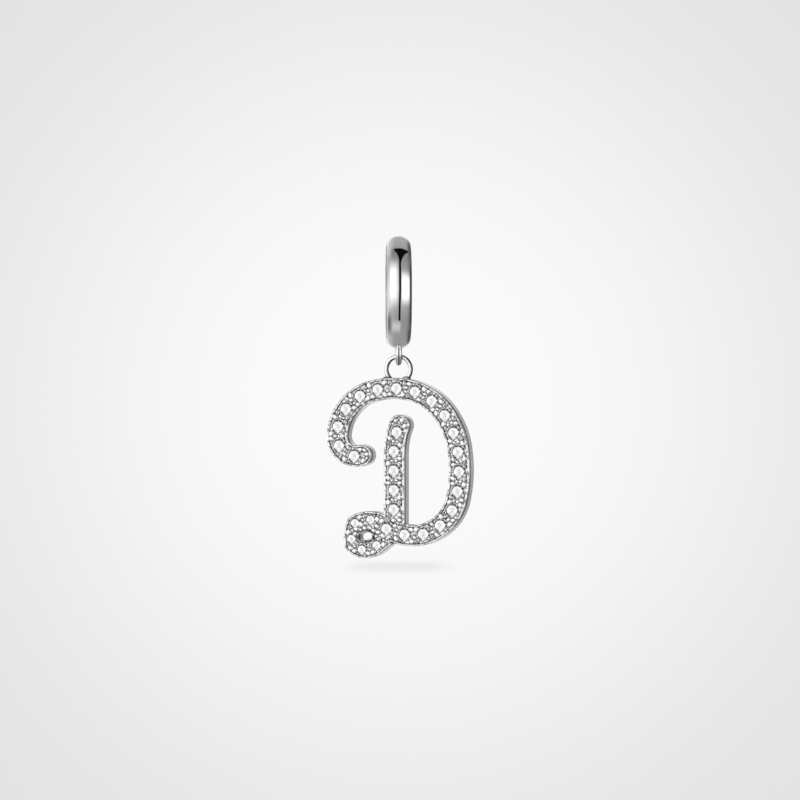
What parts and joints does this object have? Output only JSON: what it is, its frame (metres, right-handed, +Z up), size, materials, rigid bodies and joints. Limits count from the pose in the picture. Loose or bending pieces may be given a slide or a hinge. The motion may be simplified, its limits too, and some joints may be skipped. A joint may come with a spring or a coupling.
{
  "type": "initial pendant",
  "caption": "Script letter D pendant set with round stones, hanging from a round domed bail with a hinged rear gate.",
  "frame": {"origin": "inside top of the bail's bore, where a chain sits", "axes": "+Z up, the letter in the XZ plane with its stones facing -Y, +X to the letter's right as read"},
  "size_m": [0.0149, 0.0108, 0.0322],
  "materials": {
    "polished_silver": "mirror polished",
    "white_stone": "faceted and clear"
  },
  "bodies": {
    "bail": {"bail_body": "polished_silver", "hinge_pin": "polished_silver"},
    "gate": {"bail_gate": "polished_silver"},
    "letter": {"letter_frame": "polished_silver", "stone_01": "white_stone", "stone_02": "white_stone", "stone_03": "white_stone", "stone_04": "white_stone", "stone_05": "white_stone", "stone_06": "white_stone", "stone_07": "white_stone", "stone_08": "white_stone", "stone_09": "white_stone", "stone_10": "white_stone", "stone_11": "white_stone", "stone_12": "white_stone", "stone_13": "white_stone", "stone_14": "white_stone", "stone_15": "white_stone", "stone_16": "white_stone", "stone_17": "white_stone", "stone_18": "white_stone", "stone_19": "white_stone", "stone_20": "white_stone", "stone_21": "white_stone", "stone_22": "white_stone", "stone_23": "white_stone", "stone_24": "white_stone", "stone_25": "white_stone", "stone_26": "white_stone", "stone_27": "white_stone", "stone_28": "white_stone", "stone_29": "white_stone"}
  },
  "joints": [
    {"name": "letter_swing", "type": "hinge", "parent": "bail", "child": "letter", "pos_m": [0, 0, -0.01137], "axis": [-0.3156, 0.9489, 0], "range_deg": [-60, 60]},
    {"name": "gate_hinge", "type": "hinge", "parent": "bail", "child": "gate", "pos_m": [-0.00103, 0.0031, -0.00017], "axis": [0.9489, 0.3156, 0], "range_deg": [0, 60]}
  ]
}
